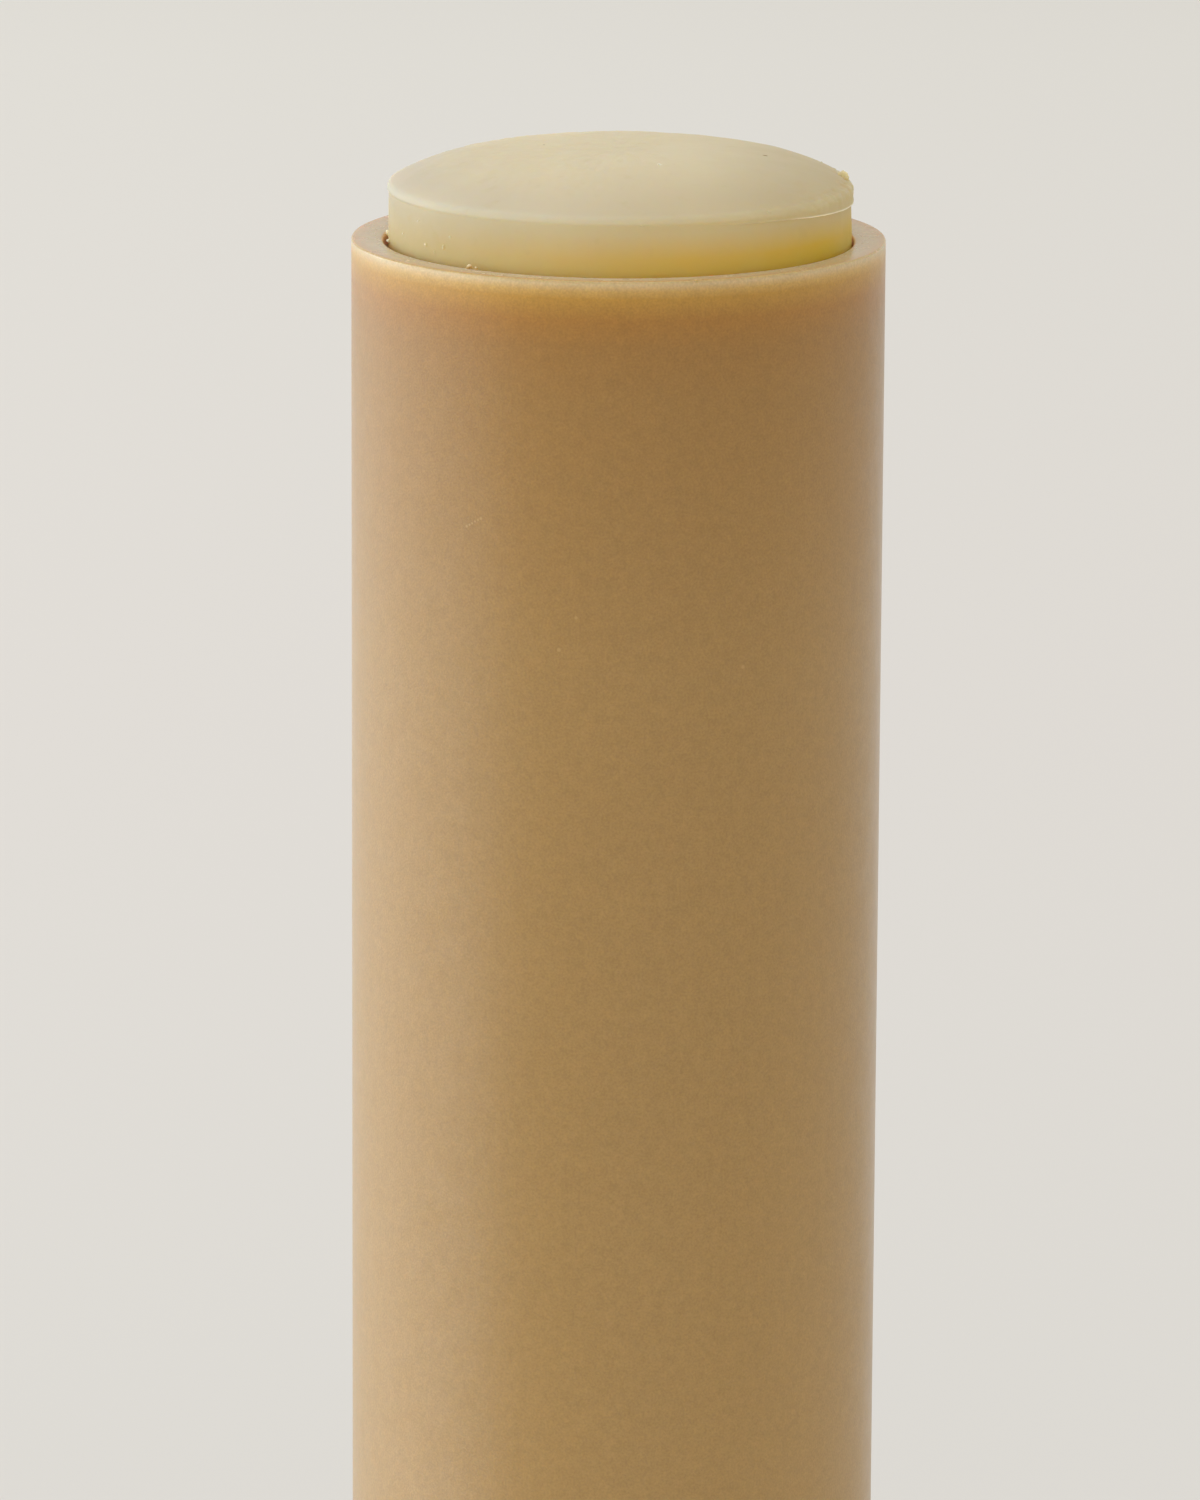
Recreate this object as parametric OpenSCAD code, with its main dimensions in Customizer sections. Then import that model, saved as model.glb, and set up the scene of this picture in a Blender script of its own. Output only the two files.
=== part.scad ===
// Lip balm stick with its cap off, turned up a little above the rim.
// The tube has a long neck for the cap and ribs down its bore. The dial and the screw are one
// moulding, which snaps into the tube's floor. The carrier rides up the screw between the ribs,
// and the stick of balm was poured onto it, round the screw.
// The dial stands on z = 0, and the tube's axis is the Z axis.

/* [Tube] */
// Outside diameter of the neck, which the cap slides over
neck_d = 14.8; // [14.4:0.1:15]
// Wall of the neck
neck_wall = 0.88; // [0.7:0.02:1.2]
// Height of the neck from the shoulder to the rim
neck_h = 38.5; // [32:0.5:45]
// Outside diameter of the base and the dial, the same as the cap's
base_d = 16.4; // [16.2:0.1:18]
// Height of the base from the dial to the shoulder, where the cap stops
base_h = 14.3; // [10:0.1:20]
// Thickness of the floor that the dial snaps into
floor_t = 1.6; // [1.2:0.1:2.4]
// Depth of the socket under the floor, which the dial's spigot turns in
socket_depth = 1.3; // [1:0.1:2]
// Wall of the socket
socket_wall = 0.85; // [0.7:0.05:1]

/* [Edges of the tube] */
// Radius of the rim's outer edge
rim_round = 0.2; // [0.05:0.01:0.3]
// Radius of the rim's inner edge
mouth_round = 0.08; // [0.04:0.01:0.2]
// How far the rim's face falls from its outer edge to the bore
rim_fall = 0.07; // [0:0.01:0.15]
// Radius of the shoulder's outer edge
shoulder_round = 0.45; // [0.2:0.05:0.5]
// Radius of the corner between the shoulder and the neck
neck_foot_round = 0.2; // [0.1:0.05:0.3]
// Height that the bead, which grips the cap, stands out of the neck
bead_out = 0.12; // [0.05:0.01:0.2]
// Width of the bead along the neck
bead_w = 0.9; // [0.6:0.1:1.5]
// Distance from the shoulder up to the bead
bead_up = 0.6; // [0.4:0.1:1]

/* [Ribs in the bore] */
// Number of ribs, which stop the carrier and the balm from turning
rib_count = 4; // [2:1:6]
// Width of a rib
rib_w = 0.9; // [0.6:0.1:1.2]
// Height of a rib above the bore
rib_h = 0.4; // [0.3:0.05:0.5]
// Distance from the rim down to the ribs' upper ends
rib_stop = 5; // [4.8:0.1:8]
// Gap between a rib and the notch that slides along it
rib_gap = 0.15; // [0.1:0.01:0.2]

/* [Dial] */
// Height of the dial
dial_h = 9; // [7:0.1:12]
// Gap between the dial and the tube
dial_gap = 0.2; // [0.1:0.05:0.4]
// Number of grip flutes round the dial
flute_count = 40; // [24:4:44]
// Radius of a flute
flute_r = 0.5; // [0.4:0.05:0.6]
// Depth of a flute
flute_depth = 0.28; // [0.15:0.01:0.35]
// Height of the plain band above the flutes
band_h = 1.2; // [0.8:0.1:2]
// Radius of the dial's edges
dial_round = 0.3; // [0.15:0.05:0.4]
// Thickness of the dial's wall, from its plain band inwards
dial_wall = 1.5; // [1.4:0.05:1.8]
// Thickness of the dial's closed end
dial_plate = 1.5; // [1.2:0.1:2]
// Depth of the hollow under the closed end, which leaves a ring to stand on
foot_depth = 0.4; // [0.2:0.05:0.6]
// Width of the ring that the dial stands on
foot_w = 1.4; // [1:0.1:2]
// Radius of the hub inside the dial
hub_r = 3.4; // [3.1:0.1:4]
// Number of webs between the hub and the dial's wall
dial_web_count = 4; // [3:1:8]
// Thickness of those webs
dial_web_t = 0.8; // [0.6:0.1:1.2]

/* [Snap into the floor] */
// Radius of the journal that turns in the floor
journal_r = 2.6; // [2.4:0.05:2.8]
// Gap round the journal and the spigot
running_gap = 0.08; // [0.05:0.01:0.1]
// End gap between the floor and the catch above it, and between the floor and the hub below it
end_gap = 0.15; // [0.1:0.01:0.3]
// How far the catch reaches over the floor's edge
catch_over = 0.25; // [0.15:0.01:0.35]
// Height of the catch
catch_h = 1.2; // [0.8:0.1:1.6]

/* [Screw] */
// Outside radius of the screw's thread
screw_r = 2.1; // [1.9:0.05:2.2]
// Depth of the thread
thread_depth = 0.6; // [0.4:0.05:0.7]
// Rise of the thread in one turn
thread_lead = 3; // [2.5:0.1:4]
// Gap between the screw's thread and the carrier's
thread_gap = 0.2; // [0.18:0.01:0.25]
// Distance from the rim down to the screw's tip
screw_stop = 5; // [4.8:0.1:8]
// Height of the plain nose on the screw's tip
nose_h = 0.6; // [0.4:0.1:1]

/* [Carrier] */
// Height of the carrier
carrier_h = 5; // [4:0.1:7]
// Gap between the bore and what slides in it
slide_gap = 0.12; // [0.1:0.01:0.2]
// Wall of the carrier's cup
cup_wall = 0.8; // [0.75:0.05:1]
// Thickness of the cup's floor
cup_floor = 1; // [0.8:0.1:1.5]
// Wall of the nut in the middle of the cup
nut_wall = 0.9; // [0.7:0.05:1.2]
// Number of webs that key the balm to the carrier
carrier_web_count = 4; // [3:1:6]
// Thickness of those webs
carrier_web_t = 0.8; // [0.6:0.1:1]
// Height of those webs above the cup's floor
carrier_web_h = 2.4; // [1.5:0.1:2.8]
// How far the carrier has been turned up from the bottom of its travel
turned_up = 3.5; // [1:0.1:20]

/* [Balm] */
// Distance from the rim down to the balm's edge when the carrier is at the bottom
fill_stop = 2; // [1.5:0.1:3]
// Height of the dome above the balm's edge
dome_rise = 1; // [0.5:0.05:2]
// How flat the dome is in the middle: 2 is an even curve, and more is flatter
dome_power = 4; // [2:0.1:5]
// Height of the lip round the balm's top edge
lip_h = 0.2; // [0.1:0.02:0.5]
// How far the lip stands out from the balm's side
lip_out = 0.07; // [0.02:0.01:0.08]
// Gap between the balm and the screw in the hole that the screw left
screw_clear = 0.25; // [0.2:0.01:0.4]
// Gap left by shrinkage between the balm and the carrier's round walls
shrink_gap = 0.04; // [0.02:0.01:0.08]

/* [Hidden] */
$fn = 96;

plastic = [0.74, 0.60, 0.42];
dial_plastic = [0.71, 0.57, 0.39];
inner_plastic = [0.86, 0.80, 0.69];
wax = [0.90, 0.86, 0.70];

// How far a cut runs past the faces that it opens, and how deep a joined piece is let in
past = 0.5;
let_in = 0.3;

neck_r = neck_d / 2;
base_r = base_d / 2;
bore_r = neck_r - neck_wall;
tube_z = dial_h + dial_gap;
floor_z = tube_z + socket_depth;
floor_top = floor_z + floor_t;
shoulder_z = tube_z + base_h;
rim_z = shoulder_z + neck_h;
rib_top = rim_z - rib_stop;
bead_steps = 6;

socket_r = base_r - socket_wall;
spigot_r = socket_r - running_gap;
spigot_top = floor_z - end_gap;
cavity_r = base_r - dial_wall;
floor_hole_r = journal_r + running_gap;
catch_z = floor_top + end_gap;
catch_r = floor_hole_r + catch_over;
catch_lip_h = catch_h / 3;
catch_top = catch_z + catch_h;
catch_tip_r = screw_r + let_in;

core_r = screw_r - thread_depth;
nose_r = 0.85 * core_r;
screw_tip = rim_z - screw_stop;
slices_per_turn = 16;
// Angles at which the thread's crest ends, its flanks end and its root is drawn
crest_half = 30;
flank_half = 75;
root_steps = 6;
// The nut's thread is wider than the screw's by this angle on each flank
flank_slack = 8;

slide_r = bore_r - slide_gap;
notch_r = bore_r - rib_h - rib_gap;
carrier_low = catch_top + end_gap;
carrier_z = carrier_low + turned_up;
carrier_top = carrier_z + carrier_h;
cup_floor_z = carrier_z + cup_floor;
cup_r = slide_r - cup_wall;
nut_r = screw_r + thread_gap + nut_wall;

edge_z = rim_z - fill_stop + turned_up;
lip_r = slide_r + lip_out;
hole_r = screw_r + screw_clear;
hole_top = screw_tip + turned_up + end_gap;
notch_top = rib_top + turned_up + end_gap;
dome_steps = 16;

// Points of an arc about a centre, from one angle to another
function arc(centre, r, from, to, steps = 5) =
    [for (i = [0:steps])
        let (a = from + (to - from) * i / steps)
        centre + r * [cos(a), sin(a)]];

// The bead's outline, a shallow bump on the neck
function bead(z) =
    [for (i = [0:bead_steps])
        [neck_r + bead_out * sin(180 * i / bead_steps), z + bead_w * i / bead_steps]];

// The dome's outline, from the balm's edge to its middle
function dome() =
    [for (i = [0:dome_steps])
        let (r = lip_r * (1 - i / dome_steps))
        [r, edge_z + dome_rise * (1 - pow(r / lip_r, dome_power))]];

// The thread's cross-section: one lobe on a round core, both wider by gap, and the lobe longer by slack
function thread_section(gap, slack) =
    concat(
        [for (a = [-crest_half - slack, 0, crest_half + slack])
            (screw_r + gap) * [cos(a), sin(a)]],
        [for (i = [0:root_steps])
            let (from = flank_half + slack, a = from + (360 - 2 * from) * i / root_steps)
            (core_r + gap) * [cos(a), sin(a)]]);

// A left-hand thread between two heights, always in step with the same helix
module thread(from_z, to_z, gap = 0, slack = 0) {
    turn = 360 / thread_lead;
    translate([0, 0, from_z])
        rotate(-turn * from_z)
        linear_extrude(
            height = to_z - from_z,
            twist = turn * (to_z - from_z),
            slices = ceil(slices_per_turn * (to_z - from_z) / thread_lead),
            segments = 0)
        polygon(thread_section(gap, slack));
}

module around(count, offset = 0) {
    for (i = [0:count - 1])
        rotate(offset + 360 * i / count)
            children();
}

module tube_wall() {
    rotate_extrude()
        polygon(concat(
            [[floor_hole_r, floor_z], [socket_r, floor_z], [socket_r, tube_z]],
            arc([base_r - rim_round, tube_z + rim_round], rim_round, -90, 0),
            arc([base_r - shoulder_round, shoulder_z - shoulder_round], shoulder_round, 0, 90),
            arc([neck_r + neck_foot_round, shoulder_z + neck_foot_round], neck_foot_round, 270, 180),
            bead(shoulder_z + bead_up),
            arc([neck_r - rim_round, rim_z - rim_round], rim_round, 0, 90),
            arc([bore_r + mouth_round, rim_z - rim_fall - mouth_round], mouth_round, 90, 180),
            [[bore_r, floor_top], [floor_hole_r, floor_top]]));
}

// A rib down the bore, sloped at its upper end so that the balm rides over it
module rib() {
    rotate([90, 0, 0])
        linear_extrude(height = rib_w, center = true)
        polygon([
            [bore_r - rib_h, floor_top - let_in],
            [bore_r + let_in, floor_top - let_in],
            [bore_r + let_in, rib_top],
            [bore_r, rib_top],
            [bore_r - rib_h, rib_top - rib_h]]);
}

module tube() {
    color(plastic)
        union() {
            tube_wall();
            around(rib_count)
                rib();
        }
}

// The notch that a rib slides in, cut from the side of what rides in the bore
module notch(from_z, to_z) {
    translate([notch_r, -rib_w / 2 - rib_gap, from_z])
        cube([rib_h + rib_gap + past, rib_w + 2 * rib_gap, to_z - from_z]);
}

module dial_turned() {
    rotate_extrude()
        polygon(concat(
            [[0, foot_depth], [base_r - foot_w - foot_depth, foot_depth], [base_r - foot_w, 0]],
            arc([base_r - dial_round, dial_round], dial_round, -90, 0),
            arc([base_r - dial_round, dial_h - dial_round], dial_round, 0, 90),
            [[spigot_r, dial_h], [spigot_r, spigot_top], [cavity_r, spigot_top],
             [cavity_r, foot_depth + dial_plate], [hub_r, foot_depth + dial_plate],
             [hub_r, spigot_top], [journal_r, spigot_top], [journal_r, catch_z],
             [catch_r, catch_z], [catch_r, catch_z + catch_lip_h],
             [catch_tip_r, catch_top], [0, catch_top]]));
}

module flutes() {
    around(flute_count)
        translate([base_r - flute_depth + flute_r, 0, -past])
        cylinder(r = flute_r, h = dial_h - band_h + past);
}

module dial_web() {
    translate([hub_r - let_in, -dial_web_t / 2, foot_depth + dial_plate - let_in])
        cube([cavity_r - hub_r + 2 * let_in, dial_web_t, dial_h - dial_plate - foot_depth]);
}

module screw() {
    thread(catch_top - let_in, screw_tip - nose_h);
    translate([0, 0, screw_tip - nose_h - let_in])
        cylinder(r = nose_r, h = nose_h + let_in);
}

module twist_dial() {
    color(dial_plastic)
        union() {
            difference() {
                dial_turned();
                flutes();
            }
            around(dial_web_count, 45)
                dial_web();
            screw();
        }
}

module carrier_web() {
    translate([nut_r - let_in, -carrier_web_t / 2, cup_floor_z - let_in])
        cube([cup_r - nut_r + 2 * let_in, carrier_web_t, carrier_web_h + let_in]);
}

module carrier() {
    color(inner_plastic)
        difference() {
            union() {
                rotate_extrude()
                    polygon([
                        [0, carrier_z], [slide_r, carrier_z], [slide_r, carrier_top],
                        [cup_r, carrier_top], [cup_r, cup_floor_z], [nut_r, cup_floor_z],
                        [nut_r, carrier_top], [0, carrier_top]]);
                around(carrier_web_count, 45)
                    carrier_web();
            }
            thread(carrier_z - past, carrier_top + past, thread_gap, flank_slack);
            around(rib_count)
                notch(carrier_z - past, carrier_top + past);
        }
}

module balm_turned() {
    rotate_extrude()
        polygon(concat(
            [[nut_r + shrink_gap, cup_floor_z], [cup_r - shrink_gap, cup_floor_z],
             [cup_r - shrink_gap, carrier_top], [slide_r, carrier_top],
             [slide_r, edge_z - lip_h - lip_out], [lip_r, edge_z - lip_h]],
            dome(),
            [[0, hole_top], [hole_r, hole_top], [hole_r, carrier_top],
             [nut_r + shrink_gap, carrier_top]]));
}

// The slot that a web of the carrier leaves in the foot of the balm
module web_slot() {
    translate([nut_r - past, -carrier_web_t / 2 - shrink_gap, cup_floor_z - past])
        cube([cup_r - nut_r + 2 * past, carrier_web_t + 2 * shrink_gap, carrier_web_h + past]);
}

module balm() {
    color(wax)
        difference() {
            balm_turned();
            around(rib_count)
                notch(carrier_top - past, notch_top);
            around(carrier_web_count, 45)
                web_slot();
        }
}

tube();
twist_dial();
carrier();
balm();
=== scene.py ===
import math

import bmesh
import bpy
from mathutils import Matrix, Vector


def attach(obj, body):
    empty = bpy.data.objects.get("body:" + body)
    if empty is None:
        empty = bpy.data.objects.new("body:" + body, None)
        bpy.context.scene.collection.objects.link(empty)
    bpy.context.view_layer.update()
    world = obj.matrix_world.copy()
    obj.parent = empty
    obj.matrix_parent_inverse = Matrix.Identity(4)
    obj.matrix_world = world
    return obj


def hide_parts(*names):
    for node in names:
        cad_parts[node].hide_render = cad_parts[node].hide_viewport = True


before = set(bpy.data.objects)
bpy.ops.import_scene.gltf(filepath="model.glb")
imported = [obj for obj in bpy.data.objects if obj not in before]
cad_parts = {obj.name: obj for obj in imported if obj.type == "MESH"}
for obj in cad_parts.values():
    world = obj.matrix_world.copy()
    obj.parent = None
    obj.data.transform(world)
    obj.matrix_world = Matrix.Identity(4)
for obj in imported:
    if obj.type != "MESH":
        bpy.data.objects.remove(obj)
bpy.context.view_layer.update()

# The tube: one moulding in a caramel plastic that light soaks into a little. It has a long straight
# neck for the cap, a thicker base, a floor that the dial snaps into and four ribs down its bore.
# It comes out of the mould whole, and its rim is the edge that the mould's halves leave.
MM = 0.001
NECK_R = 7.4
BORE_R = 6.52
BASE_R = 8.2
RIM_Z = 62.0
SHOULDER_Z = 23.5
TUBE_Z = 9.2
FLOOR_Z = 10.5
FLOOR_TOP = 12.1
SOCKET_R = 7.35
JOURNAL_HOLE_R = 2.68
RIB_TOP = 57.0
RIM_ROUND = 0.06
MOUTH_ROUND = 0.08


def arc(r, z, radius, start, end, steps=6):
    """Points of a rounded edge about (r, z), in millimetres, from one angle in degrees to another."""
    turn = [math.radians(start + (end - start) * i / steps) for i in range(steps + 1)]
    return [(r + radius * math.cos(a), z + radius * math.sin(a)) for a in turn]


def turn_on_axis(name, outline, steps=256):
    """Draws a closed outline point by point, half a section of the piece, and spins it round Z."""
    bpy.ops.object.select_all(action="DESELECT")
    r, z = outline[0]
    bpy.ops.mesh.primitive_plane_add(size=MM, location=(r * MM, 0, z * MM))
    piece = bpy.context.object
    piece.name = piece.data.name = name
    bpy.ops.object.transform_apply(location=True)
    bpy.ops.object.mode_set(mode="EDIT")
    bpy.ops.mesh.merge(type="CENTER")
    for (r0, z0), (r1, z1) in zip(outline, outline[1:] + outline[:1]):
        step = ((r1 - r0) * MM, 0, (z1 - z0) * MM)
        bpy.ops.mesh.extrude_region_move(TRANSFORM_OT_translate={"value": step})
    bpy.ops.mesh.select_all(action="SELECT")
    bpy.ops.mesh.remove_doubles(threshold=2e-6)
    bpy.ops.mesh.spin(steps=steps, angle=2 * math.pi, center=(0, 0, 0), axis=(0, 0, 1))
    bpy.ops.mesh.select_all(action="SELECT")
    bpy.ops.mesh.remove_doubles(threshold=2e-6)
    bpy.ops.mesh.normals_make_consistent(inside=False)
    bpy.ops.object.mode_set(mode="OBJECT")
    return piece


def block(name, low, high):
    """A rectangular block between two corners, in millimetres."""
    bpy.ops.object.select_all(action="DESELECT")
    middle = [(a + b) / 2 * MM for a, b in zip(low, high)]
    bpy.ops.mesh.primitive_cube_add(size=1, location=middle)
    piece = bpy.context.object
    piece.name = piece.data.name = name
    piece.scale = [(b - a) * MM for a, b in zip(low, high)]
    bpy.ops.object.transform_apply(location=True, scale=True)
    return piece


def ring_of(piece, count, offset=0.0):
    """Copies a piece round Z and joins the copies into one piece."""
    copies = [piece]
    for i in range(1, count):
        copy = piece.copy()
        copy.data = piece.data.copy()
        bpy.context.collection.objects.link(copy)
        copies.append(copy)
    for i, copy in enumerate(copies):
        copy.matrix_world = Matrix.Rotation(math.radians(offset) + 2 * math.pi * i / count, 4, "Z")
    bpy.ops.object.select_all(action="DESELECT")
    for copy in copies:
        copy.select_set(True)
    bpy.context.view_layer.objects.active = piece
    bpy.ops.object.transform_apply(rotation=True)
    bpy.ops.object.join()
    return piece


def combine(piece, tool, operation):
    """Joins a tool to a piece or cuts it away, and drops the tool."""
    bpy.ops.object.select_all(action="DESELECT")
    piece.select_set(True)
    bpy.context.view_layer.objects.active = piece
    cut = piece.modifiers.new(operation.lower(), "BOOLEAN")
    cut.operation = operation
    cut.object = tool
    cut.solver = "EXACT"
    bpy.ops.object.modifier_apply(modifier=cut.name)
    bpy.data.objects.remove(tool)


def smooth(piece, degrees=32):
    bpy.ops.object.select_all(action="DESELECT")
    piece.select_set(True)
    bpy.context.view_layer.objects.active = piece
    bpy.ops.object.shade_smooth_by_angle(angle=math.radians(degrees))


cap_bead = [(NECK_R + 0.12 * math.sin(math.pi * i / 10), SHOULDER_Z + 0.6 + 0.09 * i) for i in range(11)]
tube = turn_on_axis("tube_moulding", (
    [(JOURNAL_HOLE_R, FLOOR_Z), (SOCKET_R, FLOOR_Z), (SOCKET_R, TUBE_Z)]
    + arc(BASE_R - 0.2, TUBE_Z + 0.2, 0.2, -90, 0)
    + arc(BASE_R - 0.45, SHOULDER_Z - 0.45, 0.45, 0, 90)
    + arc(NECK_R + 0.2, SHOULDER_Z + 0.2, 0.2, 270, 180)
    + cap_bead
    + [(NECK_R, RIM_Z - 1.2), (NECK_R, RIM_Z - 0.5)]
    + arc(NECK_R - RIM_ROUND, RIM_Z - RIM_ROUND, RIM_ROUND, 0, 90)
    + arc(BORE_R + MOUTH_ROUND, RIM_Z - 0.13, MOUTH_ROUND, 90, 180)
    + [(BORE_R, FLOOR_TOP), (JOURNAL_HOLE_R, FLOOR_TOP)]))

rib = block("rib", (BORE_R - 0.4, -0.45, FLOOR_TOP - 0.3), (BORE_R + 0.3, 0.45, RIB_TOP))
bpy.ops.object.mode_set(mode="EDIT")
rib_mesh = bmesh.from_edit_mesh(rib.data)
for v in rib_mesh.verts:
    v.select_set(v.co.z > 50 * MM and v.co.x < BORE_R * MM)
rib_mesh.select_flush_mode()
bpy.ops.transform.translate(value=(0, 0, -0.4 * MM))
bpy.ops.object.mode_set(mode="OBJECT")
combine(tube, ring_of(rib, 4), "UNION")


def crumbs(name, spots):
    """Small uneven lumps at places given in millimetres as (x, y, z, radius), joined into one piece."""
    cloud = bpy.data.textures.new(name, "CLOUDS")
    cloud.noise_scale = 0.06 * MM
    lumps = []
    for i, (x, y, z, radius) in enumerate(spots):
        bpy.ops.object.select_all(action="DESELECT")
        bpy.ops.mesh.primitive_ico_sphere_add(
            subdivisions=3, radius=radius * MM, location=(x * MM, y * MM, z * MM),
            rotation=(i, 2 * i, 0))
        lump = bpy.context.object
        lump.name = name + str(i)
        lump.scale = (1.4, 1.0, 0.8)
        bpy.ops.object.transform_apply(location=True, rotation=True, scale=True)
        push = lump.modifiers.new("uneven", "DISPLACE")
        push.texture = cloud
        push.texture_coords = "LOCAL"
        push.strength = 0.6 * radius * MM
        bpy.ops.object.modifier_apply(modifier="uneven")
        lumps.append(lump)
    for lump in lumps:
        lump.select_set(True)
    bpy.ops.object.join()
    return bpy.context.object


combine(tube, crumbs("rim_crumb", [
    (2.09, -7.10, 61.98, 0.05), (-4.06, -5.17, 61.98, 0.07), (-3.85, -5.38, 61.98, 0.05)]), "UNION")
smooth(tube)


class Finish:
    """A material and short ways to lay its nodes. Every pattern on it reads Object coordinates."""

    def __init__(self, name):
        self.material = bpy.data.materials.new(name)
        self.material.use_nodes = True
        self.nodes = self.material.node_tree.nodes
        self.shader = self.nodes["Principled BSDF"]
        self.place = self.add("ShaderNodeTexCoord").outputs["Object"]

    def add(self, kind, **settings):
        node = self.nodes.new(kind)
        for name, value in settings.items():
            setattr(node, name, value)
        return node

    def wire(self, source, node, socket):
        self.material.node_tree.links.new(source, node.inputs[socket])

    def noise(self, scale, detail=2.0, stretch=(1, 1, 1)):
        """Noise with scale cells to the metre, stretched along an axis by a smaller factor."""
        lay = self.add("ShaderNodeMapping")
        lay.inputs["Scale"].default_value = stretch
        self.wire(self.place, lay, "Vector")
        node = self.add("ShaderNodeTexNoise")
        node.inputs["Scale"].default_value = scale
        node.inputs["Detail"].default_value = detail
        self.wire(lay.outputs["Vector"], node, "Vector")
        return node.outputs["Fac"]

    def spread(self, source, low, high, out_low=0.0, out_high=1.0):
        node = self.add("ShaderNodeMapRange")
        node.inputs["From Min"].default_value = low
        node.inputs["From Max"].default_value = high
        node.inputs["To Min"].default_value = out_low
        node.inputs["To Max"].default_value = out_high
        self.wire(source, node, "Value")
        return node.outputs["Result"]

    def along(self, axis):
        axes = self.add("ShaderNodeSeparateXYZ")
        self.wire(self.place, axes, "Vector")
        return axes.outputs[axis]

    def ramp(self, source, stops):
        node = self.add("ShaderNodeValToRGB")
        steps = node.color_ramp.elements
        while len(steps) < len(stops):
            steps.new(0.5)
        for step, (at, colour) in zip(steps, stops):
            step.position = at
            step.color = (*colour, 1)
        self.wire(source, node, "Fac")
        return node.outputs["Color"]

    def spot(self, where, radius):
        """A mask for a small round mark at a place in millimetres."""
        away = self.add("ShaderNodeVectorMath", operation="DISTANCE")
        self.wire(self.place, away, 0)
        away.inputs[1].default_value = [c * MM for c in where]
        return self.spread(away.outputs["Value"], 0.5 * radius * MM, radius * MM, 1.0, 0.0)

    def up_the_side(self, stops):
        """A colour at each height, from heights in millimetres and colours."""
        low, high = stops[0][0], stops[-1][0]
        return self.ramp(self.spread(self.along("Z"), low * MM, high * MM),
                         [((z - low) / (high - low), colour) for z, colour in stops])

    def blend(self, fac, under, over, mode="MIX"):
        """Mixes two colours. Each is a socket or three numbers, and so is fac, or one number."""
        node = self.add("ShaderNodeMix", data_type="RGBA", blend_type=mode)
        for socket, value in ((0, fac), (6, under), (7, over)):
            if isinstance(value, bpy.types.NodeSocket):
                self.material.node_tree.links.new(value, node.inputs[socket])
            elif socket == 0:
                node.inputs[socket].default_value = value
            else:
                node.inputs[socket].default_value = (*value, 1)
        return node.outputs[2]

    def bump(self, source, depth, under=None):
        """Lets a pattern stand out by depth, in metres, on top of another bump."""
        node = self.add("ShaderNodeBump")
        node.inputs["Strength"].default_value = 1.0
        node.inputs["Distance"].default_value = depth
        self.wire(source, node, "Height")
        if under is not None:
            self.wire(under, node, "Normal")
        return node.outputs["Normal"]

    def put_on(self, piece):
        piece.data.materials.clear()
        piece.data.materials.append(self.material)


def caramel_plastic(name, *stretches):
    """Satin moulded plastic. Each stretch gives its colour at heights in millimetres, the lowest
    first."""
    finish = Finish(name)
    shader = finish.shader
    colour = finish.up_the_side(stretches[0])
    for stretch in stretches[1:]:
        reached = finish.spread(finish.along("Z"), (stretch[0][0] - 0.02) * MM, stretch[0][0] * MM)
        colour = finish.blend(reached, colour, finish.up_the_side(stretch))
    body = stretches[0][0][1]
    cloud = finish.spread(finish.noise(170, 3, (1, 1, 0.3)), 0.35, 0.65, 0.0, 0.10)
    colour = finish.blend(cloud, colour, [c * 0.78 for c in body])
    mottle = finish.spread(finish.noise(3600, 2), 0.3, 0.7, 0.955, 1.045)
    colour = finish.blend(1.0, colour, mottle, "MULTIPLY")
    grain = finish.noise(16000, 2)
    colour = finish.blend(1.0, colour, finish.spread(grain, 0.3, 0.7, 0.90, 1.10), "MULTIPLY")
    finish.wire(colour, shader, "Base Color")
    sharper = finish.add("ShaderNodeMath", operation="MULTIPLY")
    finish.wire(finish.spread(finish.noise(1400, 3), 0.3, 0.7, 0.39, 0.48), sharper, 0)
    finish.wire(finish.spread(finish.along("Z"), 61.90 * MM, 61.96 * MM, 1.0, 0.6), sharper, 1)
    finish.wire(sharper.outputs[0], shader, "Roughness")
    slow = finish.bump(finish.noise(420, 2), 0.000012)
    finish.wire(finish.bump(grain, 0.0000035, slow), shader, "Normal")
    shader.inputs["IOR"].default_value = 1.5
    shader.inputs["Subsurface Weight"].default_value = 0.35
    shader.inputs["Subsurface Radius"].default_value = (1.0, 0.42, 0.12)
    shader.inputs["Subsurface Scale"].default_value = 0.0011
    finish.wire(finish.spread(finish.along("Z"), 50 * MM, 62 * MM, 0.41, 0.26), shader, "Sheen Weight")
    shader.inputs["Sheen Roughness"].default_value = 0.4
    return finish


# Painted light: a golden glow is painted on the wall below the rim for light that enters the rim and
# glows through the wall, and a pale highlight is painted at the very edge. Below that the body colour is
# darker and deeper in hue towards the top.
tube_plastic = caramel_plastic("tube_caramel_plastic", [
    (26.0, (0.364, 0.221, 0.069)),
    (51.0, (0.345, 0.203, 0.060)),
    (58.7, (0.317, 0.169, 0.039)),
    (60.1, (0.319, 0.159, 0.030)),
    (60.9, (0.355, 0.162, 0.020))], [
    (60.9, (0.355, 0.162, 0.020)),
    (61.5, (0.450, 0.240, 0.030)),
    (61.7, (0.520, 0.325, 0.085)),
    (61.8, (0.550, 0.385, 0.155)),
    (61.9, (0.550, 0.435, 0.235)),
    (61.97, (0.485, 0.365, 0.170)),
    (62.005, (0.430, 0.250, 0.065)),
    (62.04, (0.780, 0.660, 0.460))])
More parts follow.
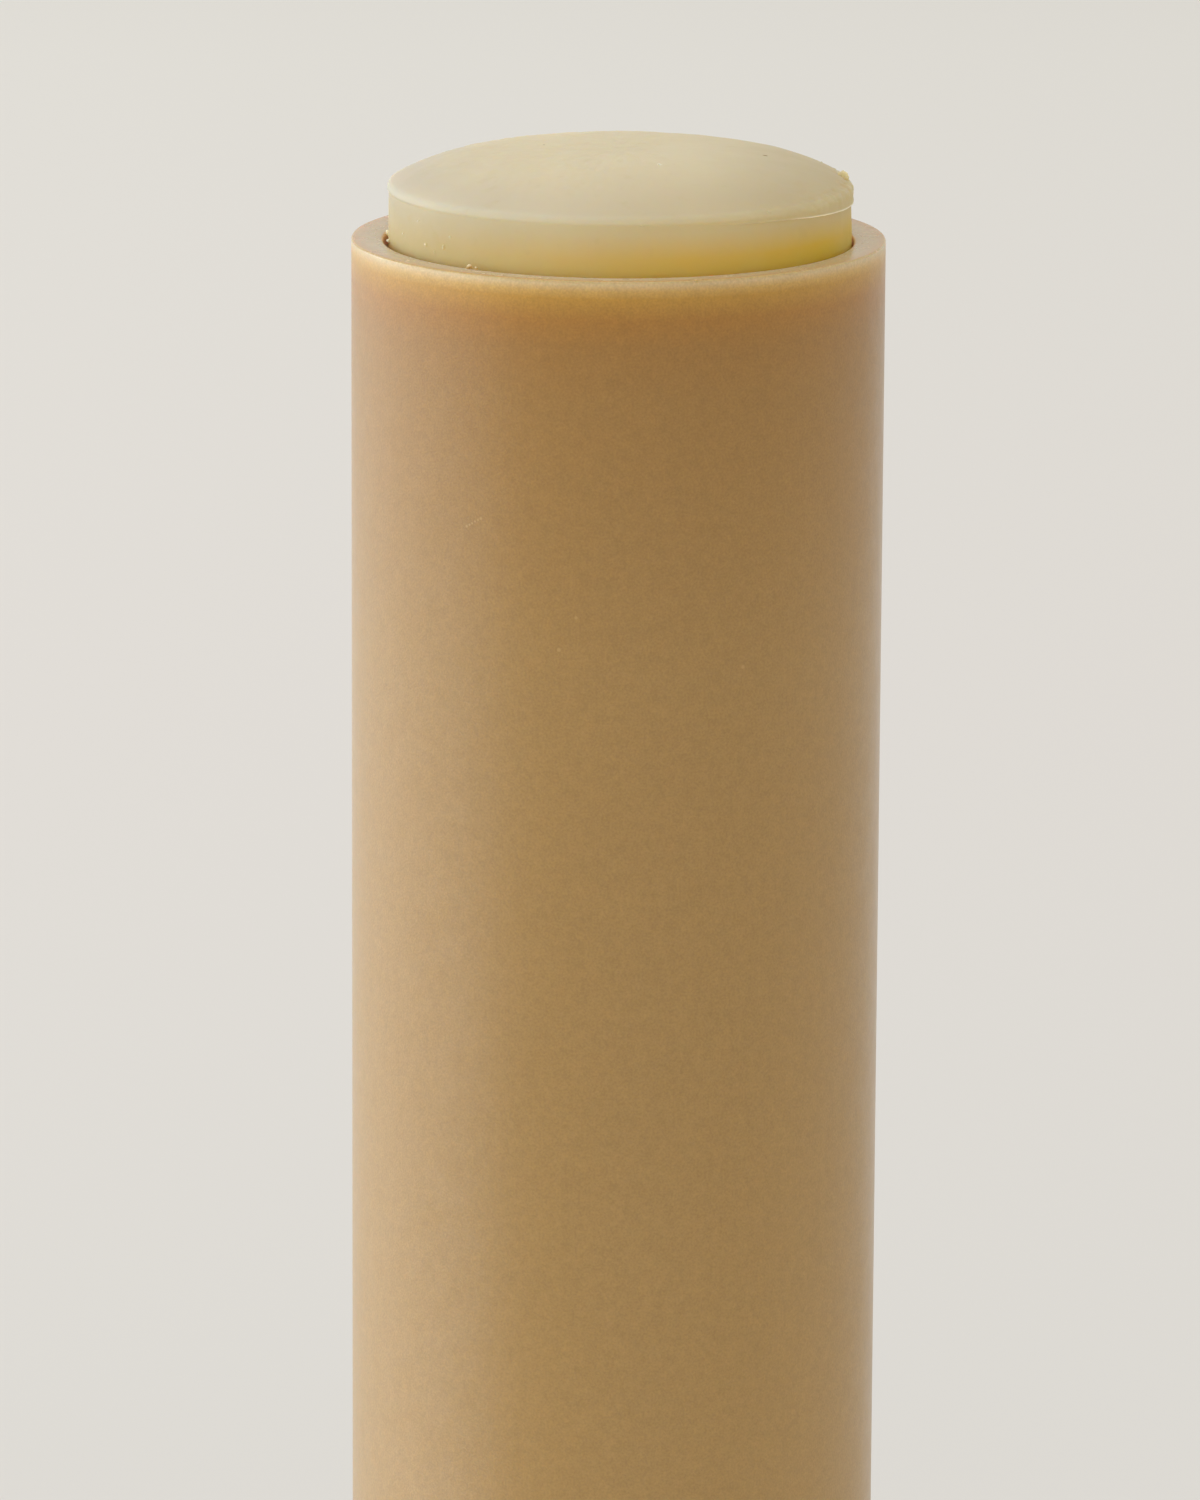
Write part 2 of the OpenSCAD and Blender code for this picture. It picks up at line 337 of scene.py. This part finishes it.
# Painted glow: inside the mouth the bore wall is painted brighter and more golden towards the rim, for
# light that comes through the thin wall.
flat = tube_plastic.add("ShaderNodeVectorMath", operation="MULTIPLY")
tube_plastic.wire(tube_plastic.place, flat, 0)
flat.inputs[1].default_value = (1, 1, 0)
off_axis = tube_plastic.add("ShaderNodeVectorMath", operation="LENGTH")
tube_plastic.wire(flat.outputs["Vector"], off_axis, 0)
in_bore = tube_plastic.spread(
    off_axis.outputs["Value"], (BORE_R + 0.01) * MM, (BORE_R + 0.06) * MM, 1.0, 0.0)
painted_bore_glow = tube_plastic.up_the_side([
    (56.0, (0.36, 0.215, 0.068)), (60.5, (0.46, 0.26, 0.075)), (61.4, (0.66, 0.36, 0.09)),
    (61.9, (0.95, 0.54, 0.15))])
outside = tube_plastic.shader.inputs["Base Color"].links[0].from_socket
tube_colour = tube_plastic.blend(in_bore, outside, painted_bore_glow)
# Three pale specks and a short fine scratch.
specks = [((-1.10, -7.32, 52.74), 0.06), ((-1.56, -7.23, 51.83), 0.07), ((3.45, -6.54, 51.24), 0.07)]
scratch = [((-4.09, -6.17, 55.03), 0.05), ((-4.01, -6.22, 55.08), 0.04), ((-3.94, -6.26, 55.13), 0.04),
           ((-3.86, -6.31, 55.19), 0.04), ((-3.78, -6.36, 55.24), 0.04), ((-3.70, -6.41, 55.29), 0.05)]
for where, radius in specks + scratch:
    tube_colour = tube_plastic.blend(
        tube_plastic.spot(where, radius), tube_colour, (0.42, 0.26, 0.09))
tube_plastic.wire(tube_colour, tube_plastic.shader, "Base Color")
tube_plastic.put_on(tube)
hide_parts("tube")
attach(tube, "tube_body")

# The dial: one moulding in the same plastic, with the screw that drives the carrier standing in its
# middle. Its spigot turns in the tube's socket, and a catch above the floor holds it in.
# Its side is fluted for the fingers, and it stands on a narrow ring round a shallow hollow.
GRIP_TOP = 9.0
SPIGOT_R = 7.27
SPIGOT_TOP = 10.35
HUB_R = 3.4
JOURNAL_R = 2.6
CATCH_R = 2.93
CATCH_TOP = 13.45
FLUTES = 40
FLUTE_R = 0.5
FLUTE_AXIS_R = BASE_R - 0.28 + FLUTE_R
FLUTE_TOP = 7.8
DIAL_STEPS = 8 * FLUTES
SCREW_R = 2.1
SCREW_CORE_R = 1.5
SCREW_LEAD = 3.0
SCREW_TIP = 57.0

dial_side = [(BASE_R, z) for z in (0.6, 1.6, 3.2, 4.8, 6.4, 7.3, 7.5, 7.62, 7.72, 7.8)]
dial = turn_on_axis("dial_moulding", (
    [(0.0, 0.4), (6.35, 0.4), (6.45, 0.36), (6.78, 0.02), (6.84, 0.0)]
    + arc(BASE_R - 0.3, 0.3, 0.3, -90, 0)
    + dial_side
    + arc(BASE_R - 0.3, 8.7, 0.3, 0, 90)
    + [(SPIGOT_R, GRIP_TOP), (SPIGOT_R, SPIGOT_TOP), (6.7, SPIGOT_TOP), (6.7, 1.9), (HUB_R, 1.9),
       (HUB_R, SPIGOT_TOP), (JOURNAL_R, SPIGOT_TOP), (JOURNAL_R, 12.25), (CATCH_R, 12.25),
       (CATCH_R, 12.65), (2.4, CATCH_TOP), (0.0, CATCH_TOP)]), DIAL_STEPS)


def flute_reach(angle, z):
    """How far from the axis a flute's hollow lies at an angle off its middle. It runs out near its
    top."""
    across = FLUTE_AXIS_R * math.sin(angle)
    run_out = max(0.0, (z - 7.3) / (FLUTE_TOP - 7.3)) ** 2
    hollow = FLUTE_AXIS_R * math.cos(angle) - math.sqrt(FLUTE_R ** 2 - across ** 2)
    return hollow + run_out * (BASE_R - hollow)


bpy.ops.object.mode_set(mode="EDIT")
dial_mesh = bmesh.from_edit_mesh(dial.data)
step = 2 * math.pi / DIAL_STEPS
for r, z in arc(BASE_R - 0.3, 0.3, 0.3, -90, 0) + dial_side:
    for side in (0, 1, 2):
        reach = flute_reach(side * step, z)
        if reach > r - 1e-4:
            continue
        for v in dial_mesh.verts:
            column = round(math.atan2(v.co.y, v.co.x) / step) % 8
            v.select_set(abs(v.co.z - z * MM) < 5e-6 and v.co.xy.length > (r - 0.01) * MM
                         and min(column, 8 - column) == side)
        dial_mesh.select_flush_mode()
        bpy.ops.transform.resize(value=(reach / r, reach / r, 1), center_override=(0, 0, 0))
bpy.ops.object.mode_set(mode="OBJECT")

# The screw's thread: one turn of its outline is drawn and wound down from above the tip, so that a
# crest faces +X at every third millimetre, as the nut in the carrier has it.
bpy.ops.object.select_all(action="DESELECT")
bpy.ops.mesh.primitive_plane_add(size=MM, location=(SCREW_CORE_R * MM, 0, 58.5 * MM))
screw = bpy.context.object
screw.name = screw.data.name = "screw"
bpy.ops.object.transform_apply(location=True)
bpy.ops.object.mode_set(mode="EDIT")
bpy.ops.mesh.merge(type="CENTER")
depth = SCREW_R - SCREW_CORE_R
for out, up in ((0, 0.875), (0.04, 0.03), (depth - 0.08, 0.315), (0.04, 0.03), (0, 0.5),
                (-0.04, 0.03), (0.08 - depth, 0.315), (-0.04, 0.03), (0, 0.875)):
    bpy.ops.mesh.extrude_region_move(TRANSFORM_OT_translate={"value": (out * MM, 0, up * MM)})
bpy.ops.object.mode_set(mode="OBJECT")
wind = screw.modifiers.new("wind", "SCREW")
wind.axis = "Z"
wind.screw_offset = -SCREW_LEAD * MM
wind.iterations = 17
wind.steps = wind.render_steps = 40
wind.use_merge_vertices = True
wind.merge_threshold = 2e-6
bpy.ops.object.modifier_apply(modifier=wind.name)
bpy.ops.object.mode_set(mode="EDIT")
bpy.ops.mesh.select_all(action="SELECT")
bpy.ops.mesh.remove_doubles(threshold=2e-6)
for z, keep_below in ((CATCH_TOP - 0.3, False), (SCREW_TIP - 0.6, True)):
    bpy.ops.mesh.select_all(action="SELECT")
    bpy.ops.mesh.bisect(plane_co=(0, 0, z * MM), plane_no=(0, 0, 1), use_fill=True, threshold=1e-7,
                        clear_outer=keep_below, clear_inner=not keep_below)
bpy.ops.mesh.select_all(action="SELECT")
bpy.ops.mesh.normals_make_consistent(inside=False)
bpy.ops.object.mode_set(mode="OBJECT")
nose = turn_on_axis("nose", [
    (0.0, SCREW_TIP - 0.9), (1.275, SCREW_TIP - 0.9), (1.275, SCREW_TIP - 0.15), (1.125, SCREW_TIP),
    (0.0, SCREW_TIP)], 48)
combine(screw, nose, "UNION")
combine(dial, screw, "UNION")

dial_web = block("dial_web", (3.1, -0.4, 1.6), (7.0, 0.4, 8.7))
combine(dial, ring_of(dial_web, 4, 45), "UNION")
smooth(dial, 36)

dial_plastic = caramel_plastic("dial_caramel_plastic", [
    (0.0, (0.358, 0.217, 0.068)),
    (57.0, (0.350, 0.209, 0.064))])
dial_plastic.put_on(dial)
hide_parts("twist_dial")
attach(dial, "dial_body")

# The carrier: a small milky moulding that rides up the screw between the tube's ribs. It is out of
# sight inside the tube, with the balm cast onto it.
carrier_finish = Finish("carrier_milky_plastic")
milky = carrier_finish.blend(
    carrier_finish.spread(carrier_finish.noise(500), 0.3, 0.7), (0.66, 0.60, 0.50), (0.60, 0.53, 0.42))
carrier_finish.wire(milky, carrier_finish.shader, "Base Color")
carrier_finish.wire(
    carrier_finish.bump(carrier_finish.noise(5000, 1), 0.000004), carrier_finish.shader, "Normal")
carrier_finish.shader.inputs["Roughness"].default_value = 0.4
carrier_finish.shader.inputs["Subsurface Weight"].default_value = 0.3
carrier_finish.shader.inputs["Subsurface Radius"].default_value = (1.0, 0.8, 0.6)
carrier_finish.shader.inputs["Subsurface Scale"].default_value = 0.001
carrier_finish.put_on(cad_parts["carrier"])

# The balm: a stick of pale yellow wax, poured through the rim onto the carrier and round the screw.
# It set with a low dome, and a thin ragged lip stands round its edge where it met the tube's wall.
# The lip is thicker on one side, where it hangs lower and ends in a thin ledge.
BALM_R = 6.41
LIP_R = 6.475
EDGE_Z = 63.52
CUP_FLOOR_Z = 18.1
CARRIER_TOP = 22.1
HOLE_TOP = 60.65
TOP_FROM = 57.5
LIP_FROM = 62.7
FACE_FROM = 63.33
DOME_RISE = 0.96
LIP_FOOT = [(BALM_R, 63.26), (BALM_R + 0.001, 63.28), (BALM_R + 0.002, 63.30), (BALM_R + 0.003, 63.32)]
LIP_FACE = [(BALM_R + 0.048, 63.34), (BALM_R + 0.057, 63.36)]

dome = []
for i in range(36):
    r = (LIP_R - 0.125) * (1 - (i / 36) ** 1.25)
    dome.append((r, EDGE_Z + DOME_RISE * (1 - (r / LIP_R) ** 4)))
dome = dome[1:] + [(0.0, EDGE_Z + DOME_RISE)]
wall = [(BALM_R, 58.0 + 0.25 * i) for i in range(18)]
balm = turn_on_axis("balm_stick", (
    [(3.24, CUP_FLOOR_Z), (5.56, CUP_FLOOR_Z), (5.56, CARRIER_TOP), (BALM_R - 0.04, CARRIER_TOP)]
    + [(BALM_R, 57.0)]
    + wall
    + LIP_FOOT
    + LIP_FACE
    + arc(LIP_R - 0.25, EDGE_Z - 0.14, 0.25, 0, 60, 8)
    + dome
    + [(0.0, HOLE_TOP), (2.35, HOLE_TOP), (2.35, CARRIER_TOP), (3.24, CARRIER_TOP)]))

groove = block("groove", (5.97, -0.6, CARRIER_TOP - 0.5), (7.0, 0.6, HOLE_TOP))
combine(balm, ring_of(groove, 4), "DIFFERENCE")
key = block("key", (2.7, -0.44, CUP_FLOOR_Z - 0.5), (6.1, 0.44, CUP_FLOOR_Z + 2.4))
combine(balm, ring_of(key, 4, 45), "DIFFERENCE")

bpy.ops.object.select_all(action="DESELECT")
balm.select_set(True)
bpy.context.view_layer.objects.active = balm
bpy.ops.object.mode_set(mode="EDIT")
balm_mesh = bmesh.from_edit_mesh(balm.data)


def pick(points):
    for v in balm_mesh.verts:
        v.select_set(False)
    for v in points:
        v.select_set(True)
    balm_mesh.select_flush_mode()


def ring_at(z):
    return [v for v in balm_mesh.verts if abs(v.co.z - z * MM) < 4e-6 and v.co.xy.length > 6.3 * MM]


# The lip's foot is tilted down towards +X in two steps and the rings of its face by a part of that.
# Its lowest edge is then drawn out into a ledge, the lip set flush with the wall in front, and the
# top moved over.
lip_rings = [(ring_at(z), 1.0) for r, z in LIP_FOOT]
lip_rings += [(ring_at(LIP_FACE[0][1]), 0.67), (ring_at(LIP_FACE[1][1]), 0.33)]
ledge = lip_rings[3][0]
pick([v for v in balm_mesh.verts if v.co.z > FACE_FROM * MM])
bpy.ops.transform.resize(value=(1, 0.993, 1), center_override=(0, 0, 0))
pick([v for v in balm_mesh.verts if v.co.z > FACE_FROM * MM and v.co.x < 0])
bpy.ops.transform.resize(value=(0.996, 1, 1), center_override=(0, 0, 0))
for ring, share in lip_rings:
    for from_x, degrees in ((2.2, 2.0), (4.8, 3.6)):
        pick([v for v in ring if v.co.x > from_x * MM])
        bpy.ops.transform.rotate(value=-math.radians(degrees * share), orient_axis="Y",
                                 center_override=(from_x * MM, 0, 63.3 * MM))
for from_x in (2.6, 3.4, 4.2, 5.0):
    pick([v for v in ledge if v.co.x > from_x * MM])
    bpy.ops.transform.resize(value=(1.0026, 1.0026, 1), center_override=(0, 0, 0))
pick([v for v in balm_mesh.verts if v.co.z > TOP_FROM * MM])
bpy.ops.transform.translate(value=(0.04 * MM, 0, 0))
# The lip's edge crumbles on that side, so it gets more points there.
pick([v for v in balm_mesh.verts
      if v.co.z > LIP_FROM * MM and v.co.xy.length > 5.9 * MM and v.co.x > 1.5 * MM])
bpy.ops.mesh.subdivide(number_cuts=1)
bpy.ops.object.mode_set(mode="OBJECT")


def roughen(piece, name, cell, depth, weight, middle=0.5):
    """Pushes points in and out by a cloudy pattern with cells of a size, in millimetres. weight gives
    each point's share of it."""
    group = piece.vertex_groups.new(name=name)
    for v in piece.data.vertices:
        share = weight(v.co / MM)
        if share > 0:
            group.add([v.index], min(share, 1.0), "REPLACE")
    cloud = bpy.data.textures.new(name, "CLOUDS")
    cloud.noise_scale = cell * MM
    push = piece.modifiers.new(name, "DISPLACE")
    push.texture = cloud
    push.texture_coords = "LOCAL"
    push.vertex_group = group.name
    push.strength = depth * MM
    push.mid_level = middle
    bpy.ops.object.modifier_apply(modifier=name)
    piece.vertex_groups.remove(piece.vertex_groups[name])


roughen(balm, "dome_swell", 3.2, 0.08, lambda co: min(co.z - 63.5, 6.2 - co.xy.length))
roughen(balm, "dome_marks", 0.9, 0.02, lambda co: 2 * (co.z - 63.4))
roughen(balm, "lip_ragged", 0.7, 0.03, lambda co: co.z > LIP_FROM and 3 * (co.xy.length - 6.1))
roughen(balm, "lip_crumbled", 0.3, 0.11,
        lambda co: co.z > LIP_FROM and co.xy.length > 6.2 and (co.x - 4.6) * (co.z - 63.0), 0.75)
roughen(balm, "edge_notched", 0.22, 0.06,
        lambda co: co.z > 63.3 and 2 * (co.xy.length - 5.95) * (co.x - 1.5) / 4, 0.6)
roughen(balm, "wall_uneven", 1.5, 0.03, lambda co: 58.1 < co.z < LIP_FROM and co.xy.length > 6.3)
combine(balm, crumbs("balm_crumb", [
    (1.09, -2.68, 64.45, 0.03), (4.05, -4.93, 63.48, 0.07), (0.60, -6.38, 63.37, 0.04),
    (-1.92, -6.06, 63.48, 0.04), (-4.76, -4.24, 62.39, 0.05), (-4.58, -4.44, 62.70, 0.03),
    (-5.47, -3.29, 62.95, 0.03), (-5.02, -3.93, 62.20, 0.03), (-5.25, -3.62, 62.35, 0.04),
    (-5.90, -2.40, 62.45, 0.03), (-6.38, 0.30, 62.02, 0.07), (-6.34, -0.75, 61.98, 0.05),
    (6.12, 0.20, 63.52, 0.25), (6.20, -0.30, 63.50, 0.15), (5.94, 1.62, 63.62, 0.08),
    (5.64, 2.42, 63.65, 0.07), (5.20, 3.22, 63.67, 0.08), (4.58, 4.02, 63.70, 0.06)]), "UNION")
# Painted highlight: a mask of points along the lower edge of the lip on the right, where a bright line
# is painted.
ledge_highlight = balm.data.color_attributes.new("ledge", "FLOAT_COLOR", "POINT")
for v, shade in zip(balm.data.vertices, ledge_highlight.data):
    x, z = v.co.x / MM - 0.04, v.co.z / MM
    foot = 63.32 - 0.035 * (x - 2.2) - 0.063 * max(0.0, x - 4.8)
    near = x > 4.6 and v.co.xy.length > 6.3 * MM and abs(z - foot) < 0.02
    shade.color = (min(1.0, 1.5 * (x - 4.6)),) * 3 + (1,) if near else (0, 0, 0, 1)
smooth(balm, 40)

wax = Finish("balm_pale_wax")
# Painted light: the wax colour is a lit, paler copy towards -X blended into a shaded, deeper copy
# towards +X. Up the side, the deep golden foot is a painted glow of light coming through the wax and the
# tube, and the paler dome is partly the wax's bloom and partly painted sheen.
painted_lit_wax = wax.up_the_side([
    (56.0, (0.62, 0.50, 0.25)), (61.9, (0.62, 0.485, 0.21)), (62.4, (0.56, 0.45, 0.245)),
    (63.1, (0.51, 0.455, 0.305)), (63.55, (0.50, 0.475, 0.40)), (64.5, (0.68, 0.59, 0.395))])
painted_shaded_wax = wax.up_the_side([
    (56.0, (0.62, 0.50, 0.25)), (61.0, (0.68, 0.50, 0.15)), (61.9, (0.73, 0.49, 0.03)),
    (62.4, (0.745, 0.48, 0.04)), (63.1, (0.61, 0.505, 0.25)), (63.5, (0.515, 0.425, 0.24)),
    (64.5, (0.56, 0.48, 0.31))])
wax_colour = wax.blend(wax.spread(wax.along("X"), -6.4 * MM, 6.4 * MM), painted_lit_wax, painted_shaded_wax)
# Painted shade: the wax is darkened towards both sides, away from the middle in X.
off_middle = wax.add("ShaderNodeMath", operation="ABSOLUTE")
wax.wire(wax.along("X"), off_middle, 0)
painted_side_shade = wax.spread(off_middle.outputs[0], 2.0 * MM, 6.5 * MM, 0.0, 0.22)
wax_colour = wax.blend(painted_side_shade, wax_colour, (0, 0, 0))
bloom = wax.spread(wax.noise(260, 4), 0.40, 0.68, 0.0, 0.15)
wax_colour = wax.blend(bloom, wax_colour, (0.64, 0.58, 0.40))
pits = wax.noise(1900, 3)
wax_colour = wax.blend(wax.spread(pits, 0.62, 0.75, 0.0, 0.12), wax_colour, (0.42, 0.31, 0.12))
for where, radius, shade in (((4.04, -0.29, 64.35), 0.09, (0.20, 0.12, 0.04)),
                             ((-2.08, 0.61, 64.49), 0.05, (0.28, 0.19, 0.08)),
                             ((1.13, -2.68, 64.46), 0.07, (0.74, 0.68, 0.52))):
    wax_colour = wax.blend(wax.spot(where, radius), wax_colour, shade)
# Painted highlight: a pale line along the lip's ledge.
ledge_highlight_mask = wax.add("ShaderNodeVertexColor", layer_name="ledge").outputs["Color"]
wax_colour = wax.blend(ledge_highlight_mask, wax_colour, (0.95, 0.88, 0.68))
wax.wire(wax_colour, wax.shader, "Base Color")
wax.wire(wax.spread(wax.noise(900, 2), 0.3, 0.7, 0.50, 0.62), wax.shader, "Roughness")
wax_slow = wax.bump(wax.noise(700, 3), 0.00003)
wax.wire(wax.bump(pits, 0.000008, wax_slow), wax.shader, "Normal")
wax.shader.inputs["IOR"].default_value = 1.45
wax.shader.inputs["Subsurface Weight"].default_value = 0.9
wax.shader.inputs["Subsurface Radius"].default_value = (1.0, 0.65, 0.3)
wax.shader.inputs["Subsurface Scale"].default_value = 0.003
wax.shader.inputs["Specular IOR Level"].default_value = 0.15
wax.put_on(balm)
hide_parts("balm")
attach(balm, "balm_body")

# The place where it stands: a pale sheet on a table, lit as in a small photo studio, by a large soft
# light on the left, a weaker one from the front and one overhead.
bpy.ops.object.select_all(action="DESELECT")
bpy.ops.mesh.primitive_plane_add(size=6.0, location=(0, 0, 0))
floor = bpy.context.object
floor.name = "floor"
sheet = Finish("pale_sheet")
deep = sheet.spread(sheet.along("Y"), 0.095, 0.461)
sheet_colour = sheet.ramp(deep, [
    (0.0, (0.702, 0.694, 0.672)), (0.35, (0.729, 0.712, 0.691)), (1.0, (0.773, 0.766, 0.736))])
sheet.wire(sheet_colour, sheet.shader, "Base Color")
sheet.shader.inputs["Roughness"].default_value = 0.9
sheet.shader.inputs["Specular IOR Level"].default_value = 0.1
sheet.put_on(floor)


def soft_light(name, spot, aim, size, radiance, tint=(1, 1, 1)):
    """A rectangular lamp. radiance is how bright its face is, where 1 is as bright as white paper."""
    data = bpy.data.lights.new(name, "AREA")
    data.shape = "RECTANGLE"
    data.size, data.size_y = size
    data.energy = math.pi * size[0] * size[1] * radiance
    data.color = tint
    lamp = bpy.data.objects.new(name, data)
    bpy.context.collection.objects.link(lamp)
    lamp.location = spot
    lamp.rotation_mode = "QUATERNION"
    lamp.rotation_quaternion = (Vector(aim) - Vector(spot)).to_track_quat("-Z", "Y")


soft_light("left_light", (-0.60, 0.065, 0.12), (0, 0, 0.05), (1.05, 0.25), 4.4, (0.95, 0.985, 1.03))
soft_light("front_light", (0.10, -0.80, 0.60), (0, 0, 0.05), (0.60, 0.40), 1.85)
soft_light("top_light", (-0.05, 0.05, 0.80), (0, 0, 0.05), (0.60, 0.60), 0.65)
soft_light("right_light", (0.60, 0.10, 0.20), (0, 0, 0.05), (0.60, 0.36), 0.3)

room = bpy.data.worlds.new("room")
bpy.context.scene.world = room
room.use_nodes = True
room.node_tree.nodes["Background"].inputs["Color"].default_value = (0.745, 0.72, 0.68, 1)
room.node_tree.nodes["Background"].inputs["Strength"].default_value = 1.0

bpy.context.scene.view_settings.view_transform = "Standard"

# The camera: a long lens a quarter of a metre from the rim, looking down at it by about 9 degrees.
LENS_TO_RIM = 249.67
LOOKS_DOWN = math.radians(9.383)
TILTED_DOWN = math.radians(12.648)
TURNED_LEFT = math.radians(0.103)
ROLLED = math.radians(0.29)
camera = bpy.data.objects.new("camera", bpy.data.cameras.new("camera"))
bpy.context.collection.objects.link(camera)
camera.data.sensor_fit = "VERTICAL"
camera.data.sensor_height = 36
camera.data.sensor_width = 36
camera.data.lens = 216.0
camera.data.clip_start = 0.01
camera.data.clip_end = 20
stand = Vector((0, -LENS_TO_RIM * math.cos(LOOKS_DOWN), RIM_Z + LENS_TO_RIM * math.sin(LOOKS_DOWN))) * MM
camera.matrix_world = (
    Matrix.Translation(stand)
    @ Matrix.Rotation(TURNED_LEFT, 4, "Z")
    @ Matrix.Rotation(math.pi / 2 - TILTED_DOWN, 4, "X")
    @ Matrix.Rotation(ROLLED, 4, "Z"))
bpy.context.scene.camera = camera
